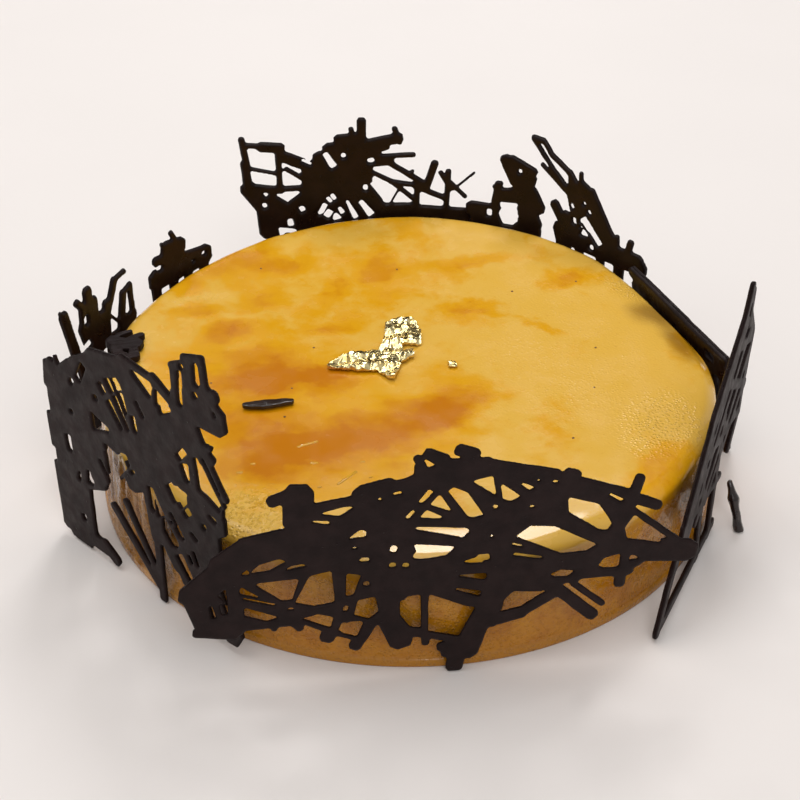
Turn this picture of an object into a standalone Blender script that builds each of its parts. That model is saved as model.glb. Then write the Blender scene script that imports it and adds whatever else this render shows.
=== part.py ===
"""Glazed mousse cake in a collar of broken chocolate lattice panels.

Metres, +Z up. The origin is the centre of the cake's underside and -Y is its front.
The panels are drawn in millimetres, each in its own plane: u runs along the panel,
to the right as seen from outside the cake, and v runs up from the underside.
A strand is (u, v) to (u, v) and a width. A gap is the same with a width at each end.
An opening is its corners.
"""
import math

import bpy
import numpy as np
from mathutils import Vector
from mathutils.geometry import delaunay_2d_cdt

MM = 0.001

CAKE_HEIGHT = 41.8
CAKE_TOP_RADIUS = 109.3
CAKE_WALL_RADIUS = 110.1
CAKE_FOOT_RADIUS = 110.7
CAKE_FOOT_HEIGHT = 3.2
CAKE_FOOT_CHAMFER = 0.5
CAKE_EDGE_ROUNDING = 5.5
CAKE_EDGE_STEPS = 5
CAKE_TOP_SAG = 0.2
CAKE_INNER_RINGS = (0.62, 0.36)
# The top climbs towards the back, from this far behind the middle.
REAR_RISE = 4.8
REAR_RISE_START = 35.0
CAKE_SEGMENTS = 96

# The slab at the right rear leans on the cake and has pressed its rim in.
SLAB_BEARING = 22.6
SLAB_INNER = 110.6
SLAB_LEAN = 8.0
SLAB_CLEARANCE = 0.4

# The side is torn into upright folds between these bearings.
TORN_BEARINGS = (-168.0, -130.0)
TORN_DEPTH = 1.3
TORN_TOP_MARGIN = 2.0
TORN_FOLDS = 7

LATTICE_THICKNESS = 1.8
SLAB_THICKNESS = 3.0
GAP_GROWTH = 0.5
OPENING_GROWTH = 0.35
PANEL_FOOT = 0.3
FOOT_CUT_REACH = 200.0
FOOT_CUT_DEPTH = 40.0
STRAND_CAP = 0.3
STRAND_CAP_WIDTH = 0.28
WELD_SIZE = 0.9
WELD_ROUNDS = 8
MERGE = 0.05
SMALLEST_HOLE = 0.7
OUTLINE_TOLERANCE = 0.13

TOPPING_FLOOR = CAKE_HEIGHT + 0.3
GOLD_THICKNESS = 0.9
GOLD_CREASE = 0.5
SHARD_THICKNESS = 1.5
TWIG_THICKNESS = 2.6
CREASE_STEP = 2.6
CREASED_SHARE = 0.7

# Name: bearing of the plane, distance of its inner face, inward lean of its top, thickness.
PANELS = {
    "lattice_front": (-84.4, 111.8, 0.0, LATTICE_THICKNESS),
    "lattice_left": (-134.2, 111.8, 0.0, LATTICE_THICKNESS),
    "lattice_left_rear": (150.0, 111.2, 0.0, LATTICE_THICKNESS),
    "lattice_back_left": (138.0, 111.2, 0.0, LATTICE_THICKNESS),
    "lattice_back": (93.0, 111.2, 0.0, LATTICE_THICKNESS),
    "lattice_back_flake": (72.0, 111.2, 0.0, LATTICE_THICKNESS),
    "lattice_back_right": (50.0, 111.2, 0.0, LATTICE_THICKNESS),
    "lattice_right_rear": (SLAB_BEARING, SLAB_INNER, SLAB_LEAN, SLAB_THICKNESS),
    "lattice_right": (-25.0, 112.0, 0.0, LATTICE_THICKNESS),
}

STRANDS = {
    "lattice_front": [
        (-76.5, 36, -66, 46, 9.5), (-67, 46.5, -59, 52.8, 10), (-60, 53.4, -48, 56, 9),
        (-56, 54, -43, 57, 9),
        (-70, 42, -42, 43, 3.2), (-54, 44.6, -41, 50, 2.2), (-63.5, 44, -63.5, 22, 4.6),
        (-77.3, 35, -74.3, 23, 3), (-76, 22.5, -64, 20.7, 3.2), (-63, 36.3, -50, 30.8, 2.2),
        (-60, 41.5, -50.5, 32.5, 2.8), (-62, 33.2, -50, 28.3, 1.7), (-65, 24.3, -49, 25.3, 4.2),
        (-53, 27.5, -46, 31, 4.5), (-50, 31.8, -32, 30, 4), (-48, 27.5, -35, 20.3, 2.5),
        (-48.5, 27, -44.3, 21.8, 2.6), (-51.5, 27, -52.3, 22, 1.8), (-42.6, 43, -46.3, 32, 1.7),
        (-32, 50, -32.3, 28, 3.6), (-31.5, 31, -36.5, 17, 4.8), (-41, 47.5, -20, 46, 5.5),
        (-23, 44, -27, 33.5, 3.6), (-21.5, 44, -21, 34, 4), (-34, 31.8, -20, 35.3, 3.2),
        (-17.5, 44, -17.3, 24, 7), (-17.5, 24, -13.5, 13.5, 7.5), (-21.5, 25, -28, 13, 4.2),
        (-29.5, 26, -21, 23, 2.6), (-27, 35, -30.5, 24, 3), (-34, 19.3, -25, 15.5, 1.9),
        (-51.2, 70.6, -43, 74.2, 4), (-43.2, 73.6, -43.6, 62, 9.2), (-42, 66.6, -26, 69.6, 3.6),
        (-42, 62.5, -30, 63, 6), (-34, 63.8, -12, 66, 6), (-26, 71, -10, 73.5, 6),
        (-24, 68, -10, 70, 5), (-25, 72.3, -16.5, 74.6, 4.5), (-17, 71.5, -8, 75.5, 5),
        (-9, 83.4, -6.5, 78, 2.6), (-6, 84.7, 3, 80, 3.8), (3, 85.2, 8, 83.4, 4.2),
        (-8, 79, 12, 79.2, 6), (8, 80, 32, 73.9, 5), (32, 73.2, 54, 65.2, 4.6),
        (35, 74.9, 38, 73.9, 3.5), (13.8, 76, 15.7, 67, 1.9), (15.5, 76, 24.5, 67, 2.4),
        (22, 75, 30, 69.5, 3.5), (8, 64, 37, 61, 6.5), (20, 66.5, 37, 68.5, 4.5),
        (8, 58, 30, 60, 5), (2, 75.5, 12.5, 64.5, 4), (9, 71, 13.5, 60, 5),
        (-1.8, 71.5, 4.5, 60.5, 3), (-6.5, 66, 1.5, 61.7, 1.7), (-5.7, 67, -2.2, 71.5, 1.8),
        (-10.5, 60, -6, 67, 2.6), (-24, 67, -9, 69, 8), (-33, 63, -13, 63, 5),
        (-23.5, 57, -11, 57, 9), (-34, 54.1, -23, 54.5, 2.6), (-45, 57, -31, 57, 9),
        (-34, 50.3, -22, 50.3, 3.2), (-12, 60.6, 8, 58.8, 2.2), (-12, 56, 8, 52.3, 3.8),
        (-21, 50, -12, 48, 7), (-20, 46, -9, 42, 8), (-20, 40, -3, 40, 12),
        (-3, 45, 6, 41, 5), (-4, 38.2, 14, 36, 2.6), (-2, 42, 15, 41.3, 3),
        (6, 51.5, 20, 51, 7), (13, 46, 24, 44, 5), (12, 51.5, 33, 44.5, 5.5),
        (14, 43.5, 32, 42.5, 9), (30, 43, 46, 43.5, 5), (44, 46, 56, 46.5, 6),
        (54, 44.7, 74, 43.2, 8.4), (28, 35, 40, 35.5, 4.2), (38, 37, 56, 37.3, 4.8),
        (40, 38, 46, 41, 5), (12, 36, 31, 35.5, 9), (34, 31.5, 46, 19.5, 4.2),
        (39, 33, 48.7, 24, 2.2), (33, 29.5, 22, 21.8, 3.8), (24, 22.8, 12, 19.5, 4.5),
        (13, 33, 13, 20, 8), (10.5, 22, 6.5, 8, 8), (4.5, 12, 3, 1.5, 5.5),
        (-13, 18.5, 6, 13, 3.2), (-14, 18, -6, 16, 2.5), (-6.4, 36, -6, 12.5, 2.6),
        (27, 61, 52, 48.5, 5), (34, 69, 50, 63.5, 4), (50, 64, 51.5, 50, 3.4),
        (56.7, 72, 54.5, 62, 3.3), (53, 65.5, 63, 61, 3.6), (54, 64, 52, 50, 5),
        (55.5, 60, 69.8, 47.5, 2.2), (54.2, 46, 53.3, 31.5, 3.6),
        (-31, 58, -22, 58.5, 5), (-35, 51.5, -22, 51.8, 4), (-57, 46.5, -41, 48, 6),
        (-61, 37, -21, 38, 14), (-61, 27.5, -22, 28, 9), (-10, 55, 8, 53, 12),
        (-10, 68, 12, 69, 17), (14, 70, 36, 66, 11), (38, 60, 51, 57.5, 12),
        (20, 53, 44, 49, 10), (45, 41, 58, 41.5, 7), (-3, 37, 14, 36, 9),
        (-13, 24, -10, 18, 6), (-14, 33, -6, 34, 5), (-5, 33, 10, 30, 8),
        (17, 28.5, 27, 29.5, 8), (30, 37, 42, 38, 6), (-71, 35, -70, 23, 8),
        (-1.5, 10.5, 10, 11.5, 3.5), (0, 8, 8, 9, 4), (-56, 49.6, -36, 51.5, 3),
        (24, 57.2, 32, 57.2, 2), (11, 54.9, 19, 54.9, 3), (30, 41, 46, 41, 2.4),
        (-2, 46.6, 8, 45.2, 3.5), (6, 48.2, 16, 48.2, 3), (33, 41.6, 42, 41.6, 2.5),
    ],
    "lattice_left": [
        (-46.5, 68, -46.5, 6, 18), (-55.3, 62, -54, 71, 3.5), (-52.8, 66, -51.2, 72.5, 4.4),
        (-48.8, 75.6, -47, 70, 1.3), (-56.8, 50, -56.3, 37, 2.2), (-56.2, 30, -55.5, 8, 2.6),
        (-55, 5.6, -32, 5.6, 6), (-34, 7, -27, 2.8, 4.6), (-49, 64, -38, 74, 11),
        (-37.5, 75, -26, 82.3, 10), (-28, 83, -8, 87.4, 9.5), (-38, 58, -30, 76, 13),
        (-34, 62, -32, 40, 13), (-36, 52, -20, 56, 9), (-26, 57, -6, 60, 10),
        (-26, 70, -8, 72, 18), (-12, 88, 6, 70, 12), (-9, 91.3, 5, 90, 2.6),
        (2.5, 91, 14, 85, 3.8), (3.4, 90, 2.6, 80, 1.8), (-6, 66, 19, 78, 19),
        (-10, 54, 10, 62, 14), (14, 99.6, 13.8, 87, 3.4), (12.8, 99.4, 19.5, 103, 3.2),
        (19, 105, 26.5, 107.6, 3),
        (20.6, 105, 20.6, 90, 5.6), (26.9, 108.5, 27.9, 98, 2.9), (15, 88, 33, 89.5, 11),
        (24, 95.5, 30, 96.5, 6), (30, 96.5, 32.3, 97.5, 4.6), (28, 78, 26.5, 76.5, 3),
        (24, 76, 29, 73, 3.5), (22.5, 72.5, 33, 58, 1.7), (25, 74.3, 34.2, 61, 2.1),
        (19, 78, 19.3, 54, 3.9), (-14, 43.5, -1, 51, 8), (-5, 46, -2.6, 26, 5.6),
        (-2.6, 30, -2.6, 1, 3.6), (0, 52, 6, 42, 9), (12, 57, 31, 55, 5),
        (18, 50, 30, 50, 10), (10, 42, 26, 42, 12), (14, 34, 28, 36, 8),
        (14, 30, 26, 30, 14), (10, 20, 24, 22, 6), (20, 22, 26, 9, 16),
        (12, 20, 33, 8, 12), (-4, 10, -18.3, 33.5, 2.8), (-4, 6, -25.5, 28, 3.2),
        (2, 34, 10, 22, 12), (-40, 33.5, -30, 38, 10), (-39, 29, -29, 33.5, 3),
    ],
    "lattice_left_rear": [
        (51.8, 55.5, 47, 34, 4.6), (53.3, 57, 51, 54.5, 1.6), (44.3, 57, 40.5, 52, 3),
        (42, 54, 42.5, 44, 2.6), (38, 59, 38, 32, 4.6), (35, 54, 35.5, 32, 3.6),
        (32, 46.5, 33, 32, 2.6), (41.5, 46, 38, 34, 7), (28.4, 49, 30, 32, 4),
        (22.6, 56, 28, 45, 3.4), (22, 55.8, 16.6, 56.6, 2.2), (14.5, 50, 13.8, 34, 2.6),
        (18.5, 48.5, 22, 33, 3.4), (15.5, 49.3, 19, 48, 2.2), (27, 43, 22, 37, 1.2),
        (21, 37, 13.5, 37, 4), (46, 34, 40, 1, 5), (36, 32, 34, 1, 5), (28, 33, 28, 1, 4.5),
        (20, 36, 18, 1, 4), (44, 12, 18, 24, 4), (20, 12, 42, 30, 4), (49, 33, 15, 33, 4),
    ],
    "lattice_back_left": [
        (14.5, 53, 6.5, 52, 7), (11.2, 59.2, 8.5, 54, 2.2), (16.2, 56, 13, 54, 1.6),
        (20, 50, 8, 49, 4), (20.2, 50.5, 19.6, 48, 1.6), (21.5, 44, 10, 44.5, 4.5),
        (16, 49, 5, 45, 7), (6, 46.5, -6.5, 45, 4), (-6.5, 46.3, -6, 38, 1.6),
        (21, 44, 18, 1, 4.5), (12, 44, 10, 1, 4.5), (4, 44, 4, 1, 4), (-4, 43, -3, 1, 4),
        (19, 10, -4, 26, 4), (-3, 12, 19, 28, 4), (19, 5, -3, 5, 4), (21, 42, -6, 43, 9),
    ],
    "lattice_back": [
        (60.3, 78.5, 58.5, 66, 2.8), (59.5, 68, 58.5, 56, 3.8), (60, 75.8, 52, 75, 2.4),
        (53, 74.8, 44.4, 74.2, 4.4), (44, 70.4, 36, 67, 5), (58, 65.6, 46, 62.8, 1.6),
        (46, 74, 45.7, 57, 2.6), (59, 57, 52, 47, 7), (57, 57, 45, 55.5, 3.4),
        (52, 50, 51, 36, 8), (48, 44, 34, 40, 8), (50, 52, 40, 45, 5),
        (41, 49, 32, 56, 4), (43, 65, 33, 58.3, 2), (46, 56, 32, 56.5, 2.6),
        (37, 67.5, 30, 64, 4), (33, 62, 12, 62, 13), (30, 68.5, 10, 66, 8),
        (26, 72.5, 6, 74, 7), (22, 77, 12, 78, 5), (32, 55, 12, 55, 7),
        (12.3, 85.5, 12.3, 76, 3.8), (16.6, 82, 15.5, 77, 2.2), (12, 74.6, -3, 77.6, 4.6),
        (-0.9, 81.8, -3, 75.5, 2.4), (8, 72, 2, 74, 3), (8, 69.5, -8.8, 70, 2.2),
        (12, 66.5, 0, 67, 3), (1, 66.5, -13, 57, 2.5), (10, 63.5, 0, 58.2, 2),
        (1, 58.3, -12, 56, 2.2), (12, 58, 5.5, 49, 4), (-0.5, 57.5, -9.5, 49.5, 2),
        (14, 46.5, -9, 46, 5), (-8, 46, -32, 43.5, 3.6), (-10, 56, -10, 46, 2.4),
        (-9, 56, -21, 50.5, 2.4), (-17.3, 66.3, -13.8, 55, 3.2), (-22.8, 62.5, -22, 44, 2.4),
        (-19.5, 62, -24, 54, 2), (-21, 60, -30, 50.5, 1.8), (-25, 54, -33.5, 61.5, 0.9),
        (-2.5, 54.5, 1, 48, 0.8), (-8.3, 63, -7.5, 60.5, 1.4), (50, 40, 44, 1, 5),
        (38, 42, 30, 1, 5), (24, 46, 28, 1, 5), (20, 48, 8, 1, 4.5), (8, 44, 2, 1, 5),
        (-6, 44, -4, 1, 5), (-16, 44, -22, 1, 4.5), (-27, 44, -24, 1, 4),
        (52, 24, 10, 14, 4), (30, 12, -24, 22, 4), (44, 34, -20, 30, 4), (38, 46, 6, 45, 12),
        (14, 42, -32, 41.5, 6), (52, 44, 30, 42, 10),
    ],
    "lattice_back_flake": [
        (9, 47.5, -2, 47.5, 7), (-1, 50, -2.5, 60.5, 3.4), (-0.5, 58.5, -3.5, 60.8, 2),
        (-2, 54, -2, 42.5, 2.6), (-2, 54.5, -10, 55, 4.5), (-12.5, 55, -13, 42, 4),
        (-4.5, 57.5, -9, 58.5, 2.5), (-4.8, 72, -9.5, 62, 5), (-7, 71.5, -16.5, 67, 5),
        (-10, 64, -15, 63, 9), (-13, 62, -15, 54, 7), (-15, 59, -19, 51, 7),
        (-14, 52, -17.5, 43, 8), (8, 43.5, -19, 41.5, 3.5), (6, 44, 6, 1, 4.5),
        (-4, 43, -8, 1, 4.5), (-14, 43, -14, 1, 5), (-19, 42, -18, 1, 4),
        (7, 12, -18, 24, 4), (6, 30, -16, 10, 4), (8, 41, -19, 40, 5),
    ],
    "lattice_back_right": [
        (29, 81.3, 23.5, 81.3, 2.6), (28.6, 81, 16.5, 68.5, 2.1), (23.8, 81.5, 19.5, 76.5, 2.1),
        (19.8, 76.8, 10.5, 71.5, 2.3), (24.2, 71.3, 10.5, 62.5, 1.8), (17.5, 69.5, 9, 62, 2.6),
        (11, 72, 5, 64, 3), (10.5, 71.5, 9.5, 58, 2), (5.4, 73.2, 5, 64, 1.8),
        (5.5, 69, -1, 65.5, 3.5), (0, 67.5, -13, 47, 2.6), (9, 66, -4, 52, 3),
        (6, 62, 2, 55, 5), (10, 62, 6, 50, 3), (3, 66, -10, 50, 5),
        (17.2, 56.3, 12.5, 49.5, 4.4), (12, 52, 6, 46, 7), (9, 49, -12, 44.5, 3.5),
        (6, 56, 4.6, 42, 2.2), (3.8, 51.5, -1.5, 46, 0.9), (0.5, 56, -8, 46, 2.2),
        (-6, 50, -14, 44, 5), (-13.2, 51.8, -13.8, 45, 1.8), (-19.6, 51.3, -18, 44, 3),
        (-14, 44.5, -24, 44, 6), (-20, 46, -26, 43, 3), (13.5, 47, 11, 40, 8),
        (13, 42, -24, 40.5, 4), (13, 42, 10, 1, 5), (4, 42, 4, 1, 4), (-6, 42, -8, 1, 4),
        (-15, 42, -15, 1, 5), (12, 8, -15, 20, 4), (12, 30, -16, 10, 4), (13, 43, -26, 41, 6),
    ],
    "lattice_right_rear": [
        (27, 43, 8, 42.6, 4.2), (10, 42.6, -14, 41.8, 4.2), (-12, 41.6, -41, 41, 4.2),
        (24, 37, -40, 36, 8), (23, 38, 18, 1, 5), (8, 38, 6, 1, 5), (-6, 38, -8, 1, 5),
        (-20, 36, -18, 1, 5), (-32, 36, -32, 1, 5), (-40, 38, -39, 1, 4.5),
        (20, 30, -12, 8, 4), (-12, 30, -38, 10, 4), (15, 8, -30, 22, 4),
    ],
    "lattice_right": [
        (-55, 2, -44, 17, 5), (-45, 15, -18, 46, 5), (-20, 43, -8, 57, 6),
        (-10, 55, 4, 67, 7), (2, 64, 20, 78, 8), (17, 76, 24.5, 89.5, 4),
        (26, 87, 25, 74, 3.5), (25, 78, 32, 67, 5), (32.5, 68, 28.5, 52, 4),
        (28, 55, 26, 38, 4), (26, 40, 17, 28, 4), (-40, 18, 20, 75, 3.5),
        (-30, 22, 25, 70, 4), (-20, 22, 30, 62, 4), (-10, 24, 27, 50, 4),
        (-35, 30, 10, 22, 3), (-20, 45, 25, 40, 3.5), (0, 65, 30, 48, 4),
        (10, 72, 33, 66, 4), (-52, 3, 8, 3, 4), (-15, 40, -12, 1, 4), (5, 50, 2, 1, 4),
        (10, 26, 44, 2, 3),
    ],
}

GAPS = {
    "lattice_front": [
        (-16.2, 45.6, 1.6, -16.2, 43.4, 1.6), (-12.2, 45.2, 1.6, -12.2, 43, 1.6),
        (-26, 47.3, 1.2, -23, 47.3, 1.2), (-15.6, 52.2, 1.9, -15.9, 49.2, 1.5),
        (-16.4, 70.9, 0.6, -13.4, 71.6, 0.9), (-20.4, 69.5, 0.9, -19.2, 69.5, 0.9),
        (26, 73, 0.7, 27.1, 73, 0.7), (12.9, 53.3, 0.9, 14.1, 53.3, 0.9),
        (47.3, 66.9, 0.3, 52.2, 63.5, 0.9), (20, 46, 0.8, 29, 43.8, 0.8),
        (5, 43.8, 0.5, 13, 45.6, 2.4), (55.7, 41.8, 2.2, 58.6, 41.4, 0.4),
        (-25, 38, 1.6, -23, 38, 1.6), (-48, 30, 0.8, -46, 30, 0.8), (0.5, 83, 0.6, 3.5, 82.7, 1),
        (19.3, 50, 0.5, 23, 48.7, 0.5), (-42.5, 63.2, 0.1, -34.5, 61.9, 1),
        (-31, 51.6, 0.1, -25.5, 52.2, 0.5), (-4.7, 71.6, 1.7, -8, 67.2, 0.9),
        (-9.7, 64.6, 0.8, -12, 61.7, 0.9), (-71, 33.5, 0.3, -70, 28, 1.4),
        (-68, 34.3, 0.3, -66.8, 29.2, 1.2),
    ],
    "lattice_left": [
        (-36.8, 72, 2.6, -32.6, 79.6, 2.6), (-41, 68.5, 1.6, -40, 71, 1.6),
        (-25, 76.8, 2, -22.6, 73.4, 2), (-20.6, 80, 2.4, -18, 75.8, 1.8),
        (-17, 81.8, 3.2, -14.8, 78, 3.6), (-21, 71.8, 2, -15.2, 63.2, 1.2),
        (-17.5, 75, 1.8, -11.8, 64.4, 1.1), (-14.3, 77.6, 2.8, -12, 70.5, 1),
        (-8.8, 71.6, 1.6, -8, 65.5, 1.6), (-6.3, 78.3, 0.9, -3, 73.3, 1.1),
        (-7, 89, 0.8, 2, 85.3, 5.2), (5, 82.6, 7, 11, 83, 0.8), (-31.6, 59, 6.6, -22.3, 59.3, 0.8),
        (-46.8, 46, 2.6, -46.3, 39.5, 2), (-42.4, 33.3, 0.6, -43.2, 28.8, 1.1),
        (-37.2, 36.2, 1, -36.6, 30.6, 3.2), (-43.4, 14.6, 2, -43, 12, 1.6),
        (-3.2, 47, 2.4, -3, 37.6, 1.6), (7, 54, 2.2, 15.6, 45.5, 4),
        (-21, 41, 2, -18.4, 51, 16), (30.4, 93.8, 0.2, 32.4, 90.4, 0.8),
        (17, 102, 1.2, 18.7, 101.4, 2.4), (16.4, 96, 1.6, 16, 87, 1.8),
        (24.7, 106, 0.6, 24.6, 97.8, 2.2), (22.8, 95.2, 1, 24, 93.4, 2.2),
        (24.8, 79.3, 1, 27.9, 80, 3.6), (12.4, 66.3, 1.8, 16.2, 70.8, 2),
        (14.2, 64.6, 1.4, 16.4, 60.3, 2.6), (25.3, 51.3, 1, 29, 50.3, 1.3),
        (15.7, 39.3, 0.8, 18.7, 37.3, 1.2), (6, 42, 1, 11.6, 34, 1.2),
        (13.3, 29.3, 0.8, 15, 26, 1), (16, 32, 0.9, 18, 26.7, 1.1),
        (22.8, 46.4, 1.4, 22.5, 44, 1.6), (22.6, 13.3, 1.6, 24, 8.2, 1.8),
        (29, 18.3, 1.4, 31.8, 13.6, 2), (-29.6, 44.6, 0.8, -26, 38.8, 1),
        (-42.8, 58, 1.4, -42.4, 56.4, 1.8), (-28, 70.4, 1.8, -27.8, 68.2, 2),
    ],
    "lattice_left_rear": [
        (40.6, 49.5, 1.6, 40.6, 46, 1.6), (41.4, 39.2, 2.4, 40.4, 36, 3.4),
        (16.4, 44.5, 1, 16.6, 38.5, 1.4),
    ],
    "lattice_back_left": [
        (19.6, 46.6, 1.4, 17, 46.6, 1.4), (1.6, 43.6, 0.8, 1.4, 42.4, 1.2),
        (-3.4, 44.2, 1, -5.4, 44, 1.4),
    ],
    "lattice_back": [
        (27.3, 71.7, 1.8, 23.5, 65.3, 2.4), (19.8, 71.5, 1.3, 19.6, 69.5, 1.6),
        (8.8, 69, 2.2, 8.6, 67, 2.2), (12, 56, 1.8, 10, 56, 2.2), (27.3, 49, 1.6, 30, 44, 1.8),
        (25.3, 46, 2.4, 27.5, 43, 2.6), (26.7, 52, 1.2, 25, 49.5, 1.2),
        (25, 53.3, 1.2, 23.3, 50.7, 1.4), (22, 47.3, 1, 20.3, 44.3, 1.8),
        (23.5, 44.5, 0.8, 22.7, 41.5, 4), (18.7, 50.3, 0.6, 15, 42, 2),
        (13.3, 50, 1.4, 8.5, 43.2, 2.8), (37.5, 48, 1.6, 36.5, 45.8, 1.8),
        (42.2, 42.5, 1.6, 41.8, 39, 2.2), (52.5, 50, 1.4, 52, 47.8, 1.6),
        (55, 69, 5.6, 49, 67.4, 5.6), (53.5, 60.6, 2.4, 49.5, 59.4, 2.4),
        (36.7, 69, 0.8, 32.5, 67, 0.8),
    ],
    "lattice_back_flake": [
        (2.2, 47, 2.8, 0, 47, 2.8), (-7, 51.5, 4, -7, 47, 8), (-7, 47, 8, -7, 42.6, 4),
        (-11.9, 67.3, 1.4, -10.5, 67.3, 1.4),
    ],
    "lattice_back_right": [
        (8.8, 59, 1, 8.4, 56.8, 1.4), (3, 61.5, 0.8, 2.8, 60.2, 1.2),
        (0.6, 58.8, 1, 0.1, 57, 1.2), (7.2, 53.3, 1.2, 6.8, 50.5, 1.4),
        (3, 54.6, 2.2, -0.6, 50.8, 2.2), (-1.2, 49.8, 2.2, -5.8, 45.2, 2.4),
        (3.4, 48.3, 3, 0.3, 47.2, 0.6), (-0.8, 42.7, 1.8, -2.8, 42.9, 2),
    ],
    "lattice_right_rear": [
        (-28.4, 38.5, 2, -34, 38.5, 2),
    ],
}

OPENINGS = {
    "lattice_front": [
        [(-38, 65.4), (-31.5, 64.3), (-27, 67.5), (-30.3, 67.3)],
        [(-29.5, 55.3), (-24.2, 55.9), (-24.1, 58.1), (-25.7, 58.4)],
        [(-58.6, 44.5), (-52.7, 45.6), (-47.5, 48.4), (-50, 49.4), (-55.4, 47.8)],
        [(-49.7, 44.4), (-41.8, 46.2), (-43, 47.2), (-46, 46.5)],
        [(-57.5, 40.6), (-49.6, 33.6), (-46.6, 33.5), (-44.3, 41.5)],
        [(-45.4, 32.2), (-39.8, 30.6), (-33.9, 31.6), (-34.5, 43.6), (-40.9, 42.1)],
        [(-61.6, 39.9), (-61.6, 36.9), (-54.7, 34.1)],
        [(-61, 34.6), (-51, 31.2), (-52, 32.6), (-61, 35.6)],
        [(-60.8, 31.7), (-60.6, 27.9), (-54.6, 25.7), (-50.4, 26.9)],
        [(-43.8, 25.8), (-35.4, 21.4), (-34.4, 25.7), (-38.9, 26.9)],
        [(-27.8, 25.9), (-23.4, 24.1), (-20.7, 26.9), (-21.6, 32.5), (-26.4, 31.6)],
        [(-30.2, 33.6), (-28, 34), (-25.8, 41.2), (-29.8, 42.3)],
        [(-31.2, 27.8), (-30, 27.9), (-29.6, 29.9), (-30.8, 29.6)],
        [(-31.7, 19.1), (-27.4, 17), (-25.2, 22.7), (-30.6, 22.2)],
        [(-13.8, 28), (-13.5, 24.6), (-10.8, 20), (-7.6, 18.9), (-7.8, 32.3), (-11.7, 31.6)],
        [(-5, 17.4), (4.2, 14.7), (8.6, 25.2), (-5, 32.2)],
        [(-1, 35.2), (10.2, 30), (10.6, 32.4)], [(0.4, 39.2), (12, 36.5), (12, 39.3)],
        [(-9.1, 57.3), (4.6, 53.3), (6.4, 55.3), (5.7, 57), (-9.1, 58.5)],
        [(-9.6, 51.9), (-8, 47.3), (-4, 46.5), (-0.4, 46.9), (2.6, 50.2)],
        [(-2.3, 69.8), (-5, 66.3), (1.5, 63.1)], [(-6, 64.4), (-8, 61.6), (0.3, 60.7)],
        [(0.3, 70.6), (6.7, 60.6), (10.7, 61.3), (5.7, 69.9), (1.9, 72)],
        [(7.1, 74), (14.2, 68.2), (13, 75.4)],
        [(15.6, 72.7), (16.6, 66.8), (18.6, 66), (21.3, 67.5)],
        [(19.4, 73.5), (24.1, 69.4), (25.3, 70.7)], [(27.4, 73.8), (31.8, 71.4), (32.4, 72.4)],
        [(12.9, 65.3), (14.3, 63), (14.9, 64.6)], [(24.3, 64.2), (24.5, 62.9), (26.3, 63.4)],
        [(35.9, 65.9), (36.6, 60.2), (45.9, 53.3), (48.1, 53), (49.2, 55.1), (47.7, 58.1),
         (44.7, 62.8)],
        [(20.7, 52.4), (35, 45), (42.2, 45.5), (45.3, 47.7), (32.3, 55.3), (25.1, 56.2)],
        [(46.6, 39.4), (48.3, 38.3), (52.4, 38.4), (52.7, 43.3), (48.1, 42)],
        [(53.8, 53.2), (54.8, 49.3), (65.6, 46.7), (55.7, 57.3)],
        [(17.8, 24.2), (23.1, 24.9), (30.3, 30.4), (20.9, 31), (18.2, 28.1)],
        [(31.7, 37.2), (33.5, 36), (36.9, 35.8), (39.1, 38), (35, 38.4)],
        [(-7, 83.4), (-5.8, 79.8), (-3.8, 80.6)],
    ],
    "lattice_left": [
        [(20.4, 70), (21.6, 59.6), (31.8, 55.2), (22.2, 70.8)],
        [(1.8, 38.3), (1.7, 32), (4.8, 28.3), (7.7, 28.7), (8.7, 31.1), (3.4, 36.9)],
        [(6.9, 24.8), (12.3, 18.1), (14.3, 20.3), (10, 27.3)],
        [(-37.7, 36.6), (-38.1, 30.8), (-34.6, 32.3)],
    ],
}

CROSSINGS = {
    "lattice_left": [
        (-19.3, 42, -10.3, 52.7, 1.2), (-15.3, 50.7, -13.3, 46.7, 1.2),
        (-24, 50, -20.7, 41.3, 1), (12, 46, 15.5, 50, 0.8),
    ],
}

# The toppings lie flat: x and y in place of u and v.
GOLD_LEAF = [
    (-27.3, -1.8, 4.0, -19, 0.6, 10.8), (-19, 0.6, 11.2, -12, 1.4, 12.6),
    (-12, 2.2, 11, -3, 5.2, 9.5), (-7.6, -1, 11, -5.6, -9.2, 2.6),
    (-6.6, 4, 11, -5.6, 13, 7), (-5.6, 12, 7, -5.2, 17, 7), (-2.1, 16.6, 13, -2.1, 26.2, 12),
    (3.2, 21, 3.6, 3.3, 13.2, 3.2), (0.8, 5, 3, 0.6, 9.8, 2.6),
]
GOLD_FLECK = [
    (15.1, 1.4, 1.6, 15.7, -1.4, 2.2), (16.8, 1.2, 1.1, 16.4, -1.4, 1.8),
]
CHOCOLATE_SHARD = [
    (-56, -27.4, 2.2, -50, -26.6, 4.0), (-50, -26.6, 4.2, -44, -25.4, 3.6),
    (-44, -25.4, 3.4, -39.8, -24.5, 2.2),
]
RIM_TWIGS = [
    (-107, 13, 6, -101, 9.5, 7), (-105.5, 16.2, 2.4, -100.8, 19, 1.6),
    (-101.5, 12.5, 3, -96.8, 16.8, 2.8), (-99.5, 11, 6.5, -97.6, 10.6, 6.5),
    (-98.6, 8, 3, -97.4, 2.4, 4), (-103, 4.4, 2, -98.5, 1.2, 2.4), (-105, 9, 4, -103.5, 4, 4),
]

# A thick drip leans against the right panel: u, distance out and v of its foot and top.
SPLINTER_FOOT = (10.8, 122.4, 0.4)
SPLINTER_TOP = (15.0, 116.0, 17.0)
SPLINTER_RADII = (1.9, 1.5, 2.1, 0.8)
SPLINTER_SIDES = 8

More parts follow.
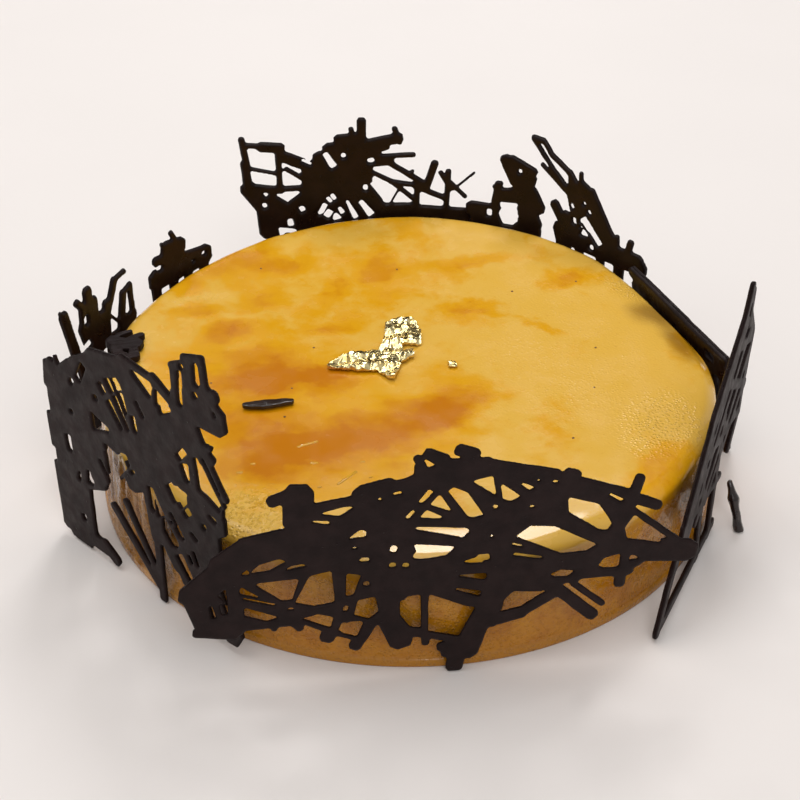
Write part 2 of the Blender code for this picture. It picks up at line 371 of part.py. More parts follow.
CAKE_COLOUR = (0.62, 0.40, 0.12)
CHOCOLATE_COLOUR = (0.042, 0.020, 0.015)
GOLD_COLOUR = (0.93, 0.71, 0.34)


def clear_scene():
    for obj in list(bpy.data.objects):
        bpy.data.objects.remove(obj, do_unlink=True)


def add_node(name, points, faces, colour, roughness, metallic=0.0):
    """One object with its own mesh and material, from points in millimetres."""
    mesh = bpy.data.meshes.new(name)
    mesh.from_pydata([tuple(MM * c for c in point) for point in points], [], faces)
    mesh.validate()
    obj = bpy.data.objects.new(name, mesh)
    bpy.context.scene.collection.objects.link(obj)
    material = bpy.data.materials.new(name)
    material.use_nodes = True
    shader = material.node_tree.nodes["Principled BSDF"]
    shader.inputs["Base Color"].default_value = (*colour, 1.0)
    shader.inputs["Roughness"].default_value = roughness
    shader.inputs["Metallic"].default_value = metallic
    mesh.materials.append(material)
    return obj


def bar(u0, v0, w0, u1, v1, w1, cap=0.0):
    """Counter-clockwise outline of a tapered bar, with clipped ends if it has caps."""
    start = np.array([u0, v0])
    end = np.array([u1, v1])
    along = (end - start) / max(np.linalg.norm(end - start), MERGE)
    across = np.array([-along[1], along[0]])
    near = start - along * cap * w0
    far = end + along * cap * w1
    outline = [start - across * w0 / 2, end - across * w1 / 2]
    if cap:
        outline += [far - across * w1 * STRAND_CAP_WIDTH, far + across * w1 * STRAND_CAP_WIDTH]
    outline += [end + across * w1 / 2, start + across * w0 / 2]
    if cap:
        outline += [near + across * w0 * STRAND_CAP_WIDTH, near - across * w0 * STRAND_CAP_WIDTH]
    return np.array(outline)


def strand(u0, v0, u1, v1, width):
    return bar(u0, v0, width, u1, v1, width, STRAND_CAP)


def within(points, outline):
    """Which of the points lie in a convex outline."""
    result = np.ones(len(points), bool)
    for a, b in zip(outline, np.roll(outline, -1, axis=0)):
        side = (b[0] - a[0]) * (points[:, 1] - a[1]) - (b[1] - a[1]) * (points[:, 0] - a[0])
        result &= side >= 0
    return result


def within_any(points, outlines):
    result = np.zeros(len(points), bool)
    for outline in outlines:
        result |= within(points, outline)
    return result


def divide(outlines):
    """Cut the plane along all outlines: points and triangles."""
    points = []
    faces = []
    for outline in outlines:
        faces.append(list(range(len(points), len(points) + len(outline))))
        points += [Vector(point) for point in outline]
    result = delaunay_2d_cdt(points, [], faces, 1, MERGE, False)
    return np.array([tuple(point) for point in result[0]]), np.array(result[2])


def rim_edges(triangles):
    """Edges with a triangle on one side only, in the direction of that triangle."""
    edges = {(t[i], t[(i + 1) % 3]) for t in triangles for i in range(3)}
    return [edge for edge in edges if (edge[1], edge[0]) not in edges]


def largest_piece(triangles, points):
    """The triangles of the largest piece that hangs together along edges."""
    owners = {}
    for number, triangle in enumerate(triangles):
        for i in range(3):
            owners.setdefault(frozenset((triangle[i], triangle[(i + 1) % 3])), []).append(number)
    neighbours = [[] for _ in triangles]
    for shared in owners.values():
        if len(shared) == 2:
            neighbours[shared[0]].append(shared[1])
            neighbours[shared[1]].append(shared[0])
    unseen = set(range(len(triangles)))
    best = []
    best_area = 0.0
    while unseen:
        piece = [unseen.pop()]
        for number in piece:
            fresh = [other for other in neighbours[number] if other in unseen]
            unseen.difference_update(fresh)
            piece += fresh
        corners = points[triangles[piece]]
        one = corners[:, 1] - corners[:, 0]
        two = corners[:, 2] - corners[:, 0]
        area = abs(one[:, 0] * two[:, 1] - one[:, 1] * two[:, 0]).sum()
        if area > best_area:
            best_area = area
            best = piece
    return triangles[best]


def pinches(triangles):
    """Corners where the sheet touches itself at a point only."""
    leaving = {}
    for a, _ in rim_edges(triangles):
        leaving[a] = leaving.get(a, 0) + 1
    return [corner for corner, count in leaving.items() if count > 1]


def merged_sheet(solid, open_parts, kept, floor):
    """The joined shape of all bars, without the gaps but with the kept bars."""
    welds = []
    for _ in range(WELD_ROUNDS):
        points, triangles = divide(solid + open_parts + kept + welds)
        middles = points[triangles].mean(axis=1)
        filled = within_any(middles, solid) & ~within_any(middles, open_parts)
        filled |= within_any(middles, kept + welds)
        filled &= middles[:, 1] > floor
        triangles = largest_piece(triangles[filled], points)
        corners = pinches(triangles)
        if not corners:
            break
        half = WELD_SIZE / 2
        welds += [bar(points[c][0] - half, points[c][1], WELD_SIZE,
                      points[c][0] + half, points[c][1], WELD_SIZE) for c in corners]
    return points, triangles


def rim_loops(points, triangles):
    """Closed outlines of a sheet, the outer one counter-clockwise."""
    following = dict(rim_edges(triangles))
    loops = []
    while following:
        corner, after = following.popitem()
        loop = [corner]
        while after != loop[0]:
            loop.append(after)
            after = following.pop(after)
        loops.append(points[loop])
    return loops


def loop_area(loop):
    after = np.roll(loop, -1, axis=0)
    return (loop[:, 0] * after[:, 1] - loop[:, 1] * after[:, 0]).sum() / 2


def simplified(loop):
    """The loop without the points that hardly change its shape."""
    loop = list(loop)
    while len(loop) > 4:
        before = np.roll(loop, 1, axis=0)
        after = np.roll(loop, -1, axis=0)
        chord = after - before
        reach = np.array(loop) - before
        length = np.maximum(np.linalg.norm(chord, axis=1), MERGE)
        offset = abs(chord[:, 0] * reach[:, 1] - chord[:, 1] * reach[:, 0]) / length
        least = int(offset.argmin())
        if offset[least] > OUTLINE_TOLERANCE:
            break
        loop.pop(least)
    return np.array(loop)


def enclosed(middles, loops):
    """Which of the points the loops enclose, by the even-odd rule."""
    inside = np.zeros(len(middles), bool)
    for loop in loops:
        for a, b in zip(loop, np.roll(loop, -1, axis=0)):
            spans = (a[1] > middles[:, 1]) != (b[1] > middles[:, 1])
            rise = b[1] - a[1] if b[1] != a[1] else MERGE
            crossing = a[0] + (middles[:, 1] - a[1]) * (b[0] - a[0]) / rise
            inside ^= spans & (middles[:, 0] < crossing)
    return inside


def clean_sheet(points, triangles, extra=()):
    """The sheet again from simplified outlines, without tiny holes."""
    loops = [simplified(loop) for loop in rim_loops(points, triangles)]
    loops = [loop for loop in loops if abs(loop_area(loop)) > SMALLEST_HOLE]
    corners = []
    edges = []
    for loop in loops:
        first = len(corners)
        corners += [Vector(point) for point in loop]
        edges += [(first + i, first + (i + 1) % len(loop)) for i in range(len(loop))]
    corners += [Vector(point) for point in extra]
    result = delaunay_2d_cdt(corners, edges, [], 0, MERGE / 5, False)
    points = np.array([tuple(point) for point in result[0]])
    triangles = np.array(result[2])
    middles = points[triangles].mean(axis=1)
    return points, triangles[enclosed(middles, loops)]


def thick_sheet(points, triangles, place):
    """Closed solid between the sheet's two sides, put into space by place(u, v, side)."""
    used = sorted(set(int(c) for c in triangles.ravel()))
    number = {corner: i for i, corner in enumerate(used)}
    count = len(used)
    solid = [place(*points[c], 0) for c in used] + [place(*points[c], 1) for c in used]
    faces = []
    for a, b, c in triangles:
        a, b, c = number[int(a)], number[int(b)], number[int(c)]
        faces.append((a + count, b + count, c + count))
        faces.append((c, b, a))
    for a, b in rim_edges(triangles):
        a, b = number[int(a)], number[int(b)]
        faces.append((a, b, b + count))
        faces.append((a, b + count, a + count))
    return solid, faces


def panel_place(bearing, inner, lean, thickness):
    """Function from a panel's own u, v and side to a point in space."""
    turn = math.radians(bearing)
    tilt = math.radians(lean)
    outward = np.array([math.cos(turn), math.sin(turn), 0.0])
    along = np.array([-math.sin(turn), math.cos(turn), 0.0])
    up = math.cos(tilt) * np.array([0.0, 0.0, 1.0]) - math.sin(tilt) * outward
    normal = math.cos(tilt) * outward + math.sin(tilt) * np.array([0.0, 0.0, 1.0])

    def place(u, v, side):
        return outward * inner + along * u + up * v + normal * side * thickness

    return place


def opening(corners):
    """Counter-clockwise outline of an opening, grown away from its middle."""
    outline = np.array(corners, float)
    if loop_area(outline) < 0:
        outline = outline[::-1]
    reach = outline - outline.mean(axis=0)
    return outline + OPENING_GROWTH * reach / np.linalg.norm(reach, axis=1)[:, None]


def make_panel(name):
    solid = [strand(*row) for row in STRANDS[name]]
    open_parts = [bar(u0, v0, w0 + GAP_GROWTH, u1, v1, w1 + GAP_GROWTH)
                  for u0, v0, w0, u1, v1, w1 in GAPS.get(name, [])]
    open_parts += [opening(corners) for corners in OPENINGS.get(name, [])]
    below = PANEL_FOOT - FOOT_CUT_DEPTH / 2
    open_parts.append(bar(-FOOT_CUT_REACH, below, FOOT_CUT_DEPTH,
                          FOOT_CUT_REACH, below, FOOT_CUT_DEPTH))
    kept = [strand(*row) for row in CROSSINGS.get(name, [])]
    sheet = clean_sheet(*merged_sheet(solid, open_parts, kept, PANEL_FOOT))
    points, faces = thick_sheet(*sheet, panel_place(*PANELS[name]))
    return add_node(name, points, faces, CHOCOLATE_COLOUR, 0.32)


def make_flat(name, rows, floor, thickness, colour, roughness, metallic=0.0, crease=0.0):
    """A flat topping from tapered bars, with its upper side creased if asked for."""
    solid = [bar(*row, STRAND_CAP) for row in rows]
    points, triangles = merged_sheet(solid, [], [], -math.inf)
    extra = []
    if crease:
        low = points[np.unique(triangles)].min(axis=0)
        high = points[np.unique(triangles)].max(axis=0)
        grid = np.array([(x, y) for x in np.arange(low[0], high[0], CREASE_STEP)
                         for y in np.arange(low[1], high[1], CREASE_STEP)])
        shrunk = [bar(x0, y0, w0 * CREASED_SHARE, x1, y1, w1 * CREASED_SHARE)
                  for x0, y0, w0, x1, y1, w1 in rows]
        extra = grid[within_any(grid, shrunk)]
    points, triangles = clean_sheet(points, triangles, extra)

    def place(x, y, side):
        wave = math.sin(1.9 * x + 0.8 * y) + math.sin(2.3 * y - 1.1 * x)
        rise = thickness + crease * 0.5 * wave if side else 0.0
        return np.array([x, y, floor + rise])

    solid, faces = thick_sheet(points, triangles, place)
    return add_node(name, solid, faces, colour, roughness, metallic)


def cake_profile():
    """Radius and height up the side and over the rounded edge."""
    chamfer = CAKE_FOOT_CHAMFER
    rows = [(CAKE_FOOT_RADIUS - chamfer, 0.0), (CAKE_FOOT_RADIUS, chamfer),
            (CAKE_FOOT_RADIUS, CAKE_FOOT_HEIGHT - chamfer), (CAKE_WALL_RADIUS, CAKE_FOOT_HEIGHT)]
    shoulder = CAKE_HEIGHT - CAKE_EDGE_ROUNDING
    middle = (CAKE_FOOT_HEIGHT + shoulder) / 2
    rows.append(((CAKE_WALL_RADIUS + CAKE_TOP_RADIUS) / 2, middle))
    for step in range(CAKE_EDGE_STEPS + 1):
        turn = math.radians(90 * step / CAKE_EDGE_STEPS)
        rows.append((CAKE_TOP_RADIUS - CAKE_EDGE_ROUNDING * (1 - math.cos(turn)),
                     shoulder + CAKE_EDGE_ROUNDING * math.sin(turn)))
    return rows


def torn_inset(bearing, height):
    """How far the torn folds go in at a place on the side."""
    first, last = TORN_BEARINGS
    top = CAKE_HEIGHT - TORN_TOP_MARGIN
    if not first < bearing < last or not CAKE_FOOT_HEIGHT < height < top:
        return 0.0
    share = (bearing - first) / (last - first)
    return TORN_DEPTH * math.sin(math.pi * share) * abs(math.sin(math.pi * TORN_FOLDS * share))


def rear_rise(y, height):
    """How much higher a place stands at the back, in proportion to its height."""
    share = max(y - REAR_RISE_START, 0.0) / (CAKE_TOP_RADIUS - REAR_RISE_START)
    return REAR_RISE * share ** 2 * height / CAKE_HEIGHT


def dented(radius, bearing, height):
    """The radius, cut back where the leaning slab presses in."""
    limit = SLAB_INNER - height * math.tan(math.radians(SLAB_LEAN)) - SLAB_CLEARANCE
    facing = math.cos(math.radians(bearing - SLAB_BEARING))
    return min(radius, limit / facing) if facing > 0.5 else radius


def make_cake():
    profile = cake_profile()
    inner_rings = [(share * CAKE_TOP_RADIUS, CAKE_HEIGHT - CAKE_TOP_SAG / 2)
                   for share in CAKE_INNER_RINGS]
    points = []
    for radius, height in profile + inner_rings:
        for step in range(CAKE_SEGMENTS):
            bearing = -180 + 360 * step / CAKE_SEGMENTS
            turn = math.radians(bearing)
            raised = height + rear_rise(radius * math.sin(turn), height)
            reach = dented(radius - torn_inset(bearing, height), bearing, raised)
            points.append((reach * math.cos(turn), reach * math.sin(turn), raised))
    faces = []
    rings = len(profile) + len(inner_rings)
    for ring in range(rings - 1):
        for step in range(CAKE_SEGMENTS):
            a = ring * CAKE_SEGMENTS + step
            b = ring * CAKE_SEGMENTS + (step + 1) % CAKE_SEGMENTS
            faces.append((a, b, b + CAKE_SEGMENTS))
            faces.append((a, b + CAKE_SEGMENTS, a + CAKE_SEGMENTS))
    top = len(points)
    points += [(0, 0, CAKE_HEIGHT - CAKE_TOP_SAG), (0, 0, 0)]
    last = (rings - 1) * CAKE_SEGMENTS
    for step in range(CAKE_SEGMENTS):
        after = (step + 1) % CAKE_SEGMENTS
        faces.append((last + step, last + after, top))
        faces.append((after, step, top + 1))
    return add_node("cake", points, faces, CAKE_COLOUR, 0.15)


def make_splinter():
    """A short thick drip with a knob, between its foot and the panel."""
    turn = math.radians(PANELS["lattice_right"][0])
    outward = np.array([math.cos(turn), math.sin(turn), 0.0])
    along = np.array([-math.sin(turn), math.cos(turn), 0.0])
    ends = [along * u + outward * out + np.array([0, 0, v])
            for u, out, v in (SPLINTER_FOOT, SPLINTER_TOP)]
    points = []
    levels = len(SPLINTER_RADII)
    for level, radius in enumerate(SPLINTER_RADII):
        share = level / (levels - 1)
        centre = ends[0] * (1 - share) + ends[1] * share
        for side in range(SPLINTER_SIDES):
            angle = 2 * math.pi * side / SPLINTER_SIDES
            points.append(centre + radius * np.array([math.cos(angle), math.sin(angle), 0]))
    faces = [tuple(range(SPLINTER_SIDES - 1, -1, -1))]
    for level in range(levels - 1):
        for side in range(SPLINTER_SIDES):
            a = level * SPLINTER_SIDES + side
            b = level * SPLINTER_SIDES + (side + 1) % SPLINTER_SIDES
            faces.append((a, b, b + SPLINTER_SIDES, a + SPLINTER_SIDES))
    last = (levels - 1) * SPLINTER_SIDES
    faces.append(tuple(range(last, last + SPLINTER_SIDES)))
    return add_node("right_splinter", points, faces, CHOCOLATE_COLOUR, 0.3)


clear_scene()
make_cake()
for panel in PANELS:
    make_panel(panel)
make_splinter()
make_flat("rim_twigs", RIM_TWIGS, TOPPING_FLOOR, TWIG_THICKNESS, CHOCOLATE_COLOUR, 0.3)
make_flat("chocolate_shard", CHOCOLATE_SHARD, TOPPING_FLOOR, SHARD_THICKNESS,
          CHOCOLATE_COLOUR, 0.25)
make_flat("gold_leaf", GOLD_LEAF, TOPPING_FLOOR, GOLD_THICKNESS, GOLD_COLOUR, 0.3, 1.0,
          GOLD_CREASE)
make_flat("gold_fleck", GOLD_FLECK, TOPPING_FLOOR, GOLD_THICKNESS / 2, GOLD_COLOUR, 0.3, 1.0)
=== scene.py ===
"""Looks of the glazed mousse cake with its broken chocolate lattice panels.

Sizes are in millimetres and angles in degrees, in the CAD's frame: the origin is the
centre of the cake's underside, +Z is up and -Y is the front. Only the lamps and the
floor, which aren't part of the cake, are in metres.
"""
import math

import bpy
import numpy as np
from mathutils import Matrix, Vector, kdtree


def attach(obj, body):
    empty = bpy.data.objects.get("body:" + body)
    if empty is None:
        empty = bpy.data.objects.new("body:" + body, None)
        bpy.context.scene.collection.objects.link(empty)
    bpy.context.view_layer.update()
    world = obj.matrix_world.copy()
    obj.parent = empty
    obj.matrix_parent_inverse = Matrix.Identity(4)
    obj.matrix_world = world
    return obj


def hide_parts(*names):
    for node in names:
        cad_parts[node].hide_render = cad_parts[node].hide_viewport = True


MM = 0.001

# Camera of the photograph
CAMERA_PLACE = (-2.8, -494.4, 360.65)
CAMERA_DOWN = 34.03
CAMERA_LENS = 74.36
SENSOR_WIDTH = 36.0

# Cake, as in the CAD
HEIGHT = 41.8
TOP_RADIUS = 109.3
WALL_RADIUS = 110.1
FOOT_RADIUS = 110.7
FOOT_HEIGHT = 3.2
FOOT_CHAMFER = 0.5
ROUNDING = 5.5
SLAB_BEARING = 22.6
SLAB_INNER = 110.6
SLAB_LEAN = 8.0
SLAB_HALF_WIDTH = 46.0

# Mesh of the cake
SECTORS = 600
WALL_RINGS = 26
EDGE_RINGS = 16
TOP_RINGS = 46

# The top climbs towards the back, as in the CAD
REAR_RISE = 4.8
REAR_RISE_START = 35.0

# Relief of the cake
TOP_DROP = 0.25
TOP_WAVE = 0.096
RIM_SLOPE_BEARING = -60.0
RIM_SLOPE_WIDTH = 20.0
RIM_SLOPE_DROP = 1.4
WALL_WAVE = 0.35
TORN_FROM = -172.0
TORN_TO = -128.0
TORN_DEPTH = 2.4
TORN_FADE = 0.15
TORN_STRETCH = 0.18

# Where the leaning slab has pressed the rim in. DENT_START is a share of the top's
# radius, and DENT_RANGE counts in softnesses.
SLAB_CLEARANCE = 0.7
DENT_SOFTNESS = 2.5
DENT_START = 0.7
DENT_RANGE = 8
DENT_REACH = 15.0
DENT_FADE = 14
DENT_DEPTH = 2.6

LATTICE_THICKNESS = 1.8
SLAB_THICKNESS = 3.0
# Name: bearing, distance of the inner face, inward lean and thickness, as in the CAD
PANELS = {
    "lattice_front": (-84.4, 111.8, 0.0, LATTICE_THICKNESS),
    "lattice_left": (-134.2, 111.8, 0.0, LATTICE_THICKNESS),
    "lattice_left_rear": (150.0, 111.2, 0.0, LATTICE_THICKNESS),
    "lattice_back_left": (138.0, 111.2, 0.0, LATTICE_THICKNESS),
    "lattice_back": (93.0, 111.2, 0.0, LATTICE_THICKNESS),
    "lattice_back_flake": (72.0, 111.2, 0.0, LATTICE_THICKNESS),
    "lattice_back_right": (50.0, 111.2, 0.0, LATTICE_THICKNESS),
    "lattice_right_rear": (SLAB_BEARING, SLAB_INNER, SLAB_LEAN, SLAB_THICKNESS),
    "lattice_right": (-25.0, 112.0, 0.0, LATTICE_THICKNESS),
}
PANEL_GRAIN = 0.46
PANEL_LOWEST = 0.25
PANEL_SWAY = 0.08
PANEL_SWAY_LENGTH = 7
# A side's rounded edge has a width and a fall, and its waves a height and a length
OUTER_ROUND = 0.5
OUTER_FALL = 0.15
OUTER_WAVE = 0.03
OUTER_WAVE_LENGTH = 9
INNER_ROUND = 1.4
INNER_FALL = 0.7
INNER_WAVE = 0.05
INNER_WAVE_LENGTH = 6
# Shares of the thickness between which a point lies on a cut edge
CUT_EDGE = (0.3, 0.7)
# A face whose normal points in at least this far gets the inner chocolate
TOWARD_CAKE = -0.5
LOOSE_WAVE_LENGTH = 4

# Gold leaf: its least thickness, the height over which the crumple sets in, and its sway
GOLD_LEAST = 0.35
GOLD_BASE = 0.5
GOLD_SWAY = 0.35
GOLD_SWAY_LENGTH = 2.2
CRUMPLE_LENGTHS = (10.5, 7.6, 5.4, 3.9)

# Where the glaze is amber, and one row of painted shade: x, y, two half-widths, turn, strength
AMBER_SWIRLS_AND_RIM_SHADE = [
    (-45, -8, 28, 10, 5, 0.75), (-5, -36, 40, 12, 30, 0.65), (-55, 6, 20, 8, 0, 0.35),
    (-66, 23, 12, 7, 30, 0.5), (-50, -38, 30, 22, 0, 0.42), (-28, -60, 38, 18, 5, 0.38),
    (16, -26, 13, 22, 0, 0.35), (-25, 28, 11, 5, 30, 0.4), (-26, 52, 6, 11, -20, 0.4),
    (-12, 70, 10, 8, 0, 0.45), (-50, 68, 18, 9, 10, 0.4), (-68, 76, 24, 8, 42, 0.5),
    (28, 74, 18, 6, 15, 0.45), (62, 60, 13, 8, 10, 0.4), (26, 41, 11, 5, 0, 0.35),
    (48, 28, 13, 4, -45, 0.35), (-86, 58, 10, 8, 0, 0.35), (-78, 38, 9, 7, 0, 0.3),
    # The last row on the next line, at (82, -62), is painted shade on the less lit front-right
    # rim, not a swirl
    (-57, 44, 12, 8, 0, 0.35), (-28, 101, 24, 6, 8, 0.4), (82, -62, 8, 24, -45, 0.4),
    (-80, 0, 10, 26, 0, 0.2), (-38, -22, 62, 52, 0, 0.30), (-30, 62, 62, 34, 0, 0.16),
]
# Painted shade: brown patches that darken the glaze in the dip beside the leaning slab
DIP_SHADE_PATCHES = [(93, 38, 11, 9, 25, 0.6), (99, 18, 6, 13, 10, 0.6)]
# Where the glaze is bubbly
BUBBLES = [(-52, -86, 18, 14, 20, 1.0), (86, -36, 12, 18, -20, 0.7), (86, 56, 14, 7, -40, 0.5),
           (-80, 48, 8, 6, 0, 0.5), (60, 15, 50, 60, 0, 0.12)]

# Glaze that stands proud: x, y, x, y, width
STREAKS = [(-36.5, -49.6, -30.5, -46.6, 1.3), (-22.6, -70, -17.2, -63.6, 1.3),
           (-51.2, -59.2, -50.4, -59, 1.3), (-55.4, -64, -54.2, -63.8, 1.3),
           (-31.6, -58.8, -30.0, -58.6, 1.5), (-15.4, -58.2, -14.6, -58, 1.1),
           (-28.8, -71.8, -28.2, -71.6, 1.1), (-12.6, -66.6, -12, -66.4, 0.9)]
SPECKS = [(-57, 68.3), (-4, 67.6), (68, 12), (65, 59), (55, -44.5), (65, -14), (-69, -11.3),
          (-40.5, -14.6), (-42, -32), (-63.4, -32), (20, -58), (-34, 12), (40, 52)]
SPECK_RADIUS = 0.5
# How far below the cake's height a drop or speck starts
DOME_SUNK = 0.5

# Smooth noise: the number of waves, the spread of their lengths, and what levels their sum
WAVE_COUNT = 7
WAVE_STRETCH = (0.6, 1.7)
WAVE_LEVEL = 1.6

# A patch of colour is full up to the first share of its half-widths and gone at the second
PATCH_FADE = (0.25, 1.45)

# Light of the room, and the dimmer zone that the glaze mirrors: its two edges in degrees
ROOM_COLOUR = (0.74, 0.735, 0.73, 1)
ROOM_STRENGTH = 0.80
DIM_COLOUR = (0.06, 0.052, 0.04, 1)
DIM_ZONE = (50, 20)

# Lamps: name, place, size, power and colour
LAMPS = [
    ("overhead", (-0.25, 0.15, 1.5), 1.3, 10.0, (1.0, 0.985, 0.96)),
    ("front", (0.3, -1.3, 1.2), 0.5, 3.9, (1, 1, 1)),
    ("window", (0.12, 0.93, 1.27), 0.4, 6.5, (1, 1, 1)),
    ("spark", (-0.35, 1.1, 0.95), 0.06, 0.8, (1, 1, 1)),
]
FLOOR_HALF = 6.0


def shades():
    """Linear colours, read as what they are: food under a neutral light, except the dip's
    brown, which is painted shade.
    """
    return {
        "pale": (0.73, 0.425, 0.062), "yellow": (0.70, 0.335, 0.005),
        "amber": (0.62, 0.250, 0.001), "dark": (0.53, 0.172, 0.0005),
        # The brown is painted shade for the dip beside the leaning slab
        "dip_shade": (0.150, 0.058, 0.008), "side": (0.52, 0.220, 0.008),
        "side_dark": (0.37, 0.130, 0.002), "torn": (0.50, 0.24, 0.060),
        "torn_dark": (0.22, 0.085, 0.015), "foot": (0.40, 0.160, 0.006),
    }


def waves(points, length, seed):
    """Smooth noise, mostly from -1 to 1, with features about as long as length."""
    random = np.random.default_rng(seed)
    total = np.zeros(len(points))
    for _ in range(WAVE_COUNT):
        way = random.normal(size=points.shape[1])
        way /= np.linalg.norm(way)
        pace = 2 * math.pi / (length * random.uniform(*WAVE_STRETCH))
        total += np.sin(points @ way * pace + random.uniform(0, 6.28))
    return total / math.sqrt(WAVE_COUNT) / WAVE_LEVEL


def wander(points, length, seed, ways):
    """Smooth noise in several directions at once, one column for each."""
    return np.stack([waves(points, length, seed + way) for way in range(ways)], axis=1)


def smooth_step(value, low, high):
    share = np.clip((value - low) / (high - low), 0, 1)
    return share * share * (3 - 2 * share)


class Shader:
    """A material's node tree, with its coordinates in millimetres."""

    def __init__(self, name):
        self.material = bpy.data.materials.new(name)
        self.material.use_nodes = True
        self.tree = self.material.node_tree
        self.surface = self.tree.nodes["Principled BSDF"]
        place = self.tree.nodes.new("ShaderNodeTexCoord")
        self.place = self.vector("SCALE", place.outputs["Object"], scale=1 / MM)

    def link(self, value, socket):
        if isinstance(value, bpy.types.NodeSocket):
            self.tree.links.new(value, socket)
        else:
            socket.default_value = value

    def vector(self, operation, first, second=None, scale=None):
        node = self.tree.nodes.new("ShaderNodeVectorMath")
        node.operation = operation
        self.link(first, node.inputs[0])
        if second is not None:
            self.link(second, node.inputs[1])
        if scale is not None:
            self.link(scale, node.inputs["Scale"])
        return node.outputs["Value" if operation in ("LENGTH", "DOT_PRODUCT") else "Vector"]

    def math(self, operation, first, second=0.0, clamp=False):
        node = self.tree.nodes.new("ShaderNodeMath")
        node.operation = operation
        node.use_clamp = clamp
        self.link(first, node.inputs[0])
        self.link(second, node.inputs[1])
        return node.outputs[0]

    def noise(self, length, detail=2.0, roughness=0.5, place=None, colour=False):
        node = self.tree.nodes.new("ShaderNodeTexNoise")
        self.link(place or self.place, node.inputs["Vector"])
        node.inputs["Scale"].default_value = 1 / length
        node.inputs["Detail"].default_value = detail
        node.inputs["Roughness"].default_value = roughness
        return node.outputs["Color" if colour else "Fac"]

    def cells(self, length, feature="F1"):
        node = self.tree.nodes.new("ShaderNodeTexVoronoi")
        node.feature = feature
        self.link(self.place, node.inputs["Vector"])
        node.inputs["Scale"].default_value = 1 / length
        return node.outputs["Distance"]

    def ranged(self, value, low, high, to_low=0.0, to_high=1.0):
        node = self.tree.nodes.new("ShaderNodeMapRange")
        node.interpolation_type = "SMOOTHSTEP"
        self.link(value, node.inputs["Value"])
        for name, number in (("From Min", low), ("From Max", high),
                             ("To Min", to_low), ("To Max", to_high)):
            node.inputs[name].default_value = number
        return node.outputs["Result"]

    def mix(self, share, first, second):
        node = self.tree.nodes.new("ShaderNodeMix")
        node.data_type = "RGBA"
        self.link(share, node.inputs[0])
        for value, socket in ((first, node.inputs[6]), (second, node.inputs[7])):
            self.link((*value, 1.0) if isinstance(value, tuple) else value, socket)
        return node.outputs[2]

    def ramp(self, value, stops):
        node = self.tree.nodes.new("ShaderNodeValToRGB")
        node.color_ramp.interpolation = "EASE"
        elements = node.color_ramp.elements
        while len(elements) < len(stops):
            elements.new(0.5)
        for element, (position, colour) in zip(elements, stops):
            element.position = position
            element.color = (*colour, 1.0)
        self.link(value, node.inputs[0])
        return node.outputs["Color"]

    def patches(self, rows, height, depth, place):
        """Sum of soft ellipses on the cake, each with its own strength."""
        core, edge = PATCH_FADE
        total = 0.0
        for x, y, wide, deep, turn, strength in rows:
            node = self.tree.nodes.new("ShaderNodeMapping")
            node.vector_type = "TEXTURE"
            self.link(place, node.inputs["Vector"])
            node.inputs["Location"].default_value = (x, y, height)
            node.inputs["Rotation"].default_value = (0, 0, math.radians(turn))
            node.inputs["Scale"].default_value = (wide, deep, depth)
            reach = self.vector("LENGTH", node.outputs["Vector"])
            total = self.math("ADD", total, self.ranged(reach, edge, core, 0.0, strength))
        return total

    def bump(self, height, distance, strength=1.0, onto=None):
        node = self.tree.nodes.new("ShaderNodeBump")
        self.link(height, node.inputs["Height"])
        node.inputs["Distance"].default_value = distance * MM
        node.inputs["Strength"].default_value = strength
        if onto is not None:
            self.link(onto, node.inputs["Normal"])
        return node.outputs["Normal"]

    def finish(self, colour, roughness, normal=None, **settings):
        shader = self.surface.inputs
        self.link((*colour, 1.0) if isinstance(colour, tuple) else colour, shader["Base Color"])
        self.link(roughness, shader["Roughness"])
        if normal is not None:
            self.link(normal, shader["Normal"])
        for name, value in settings.items():
            shader[name.replace("_", " ")].default_value = value
        return self.material


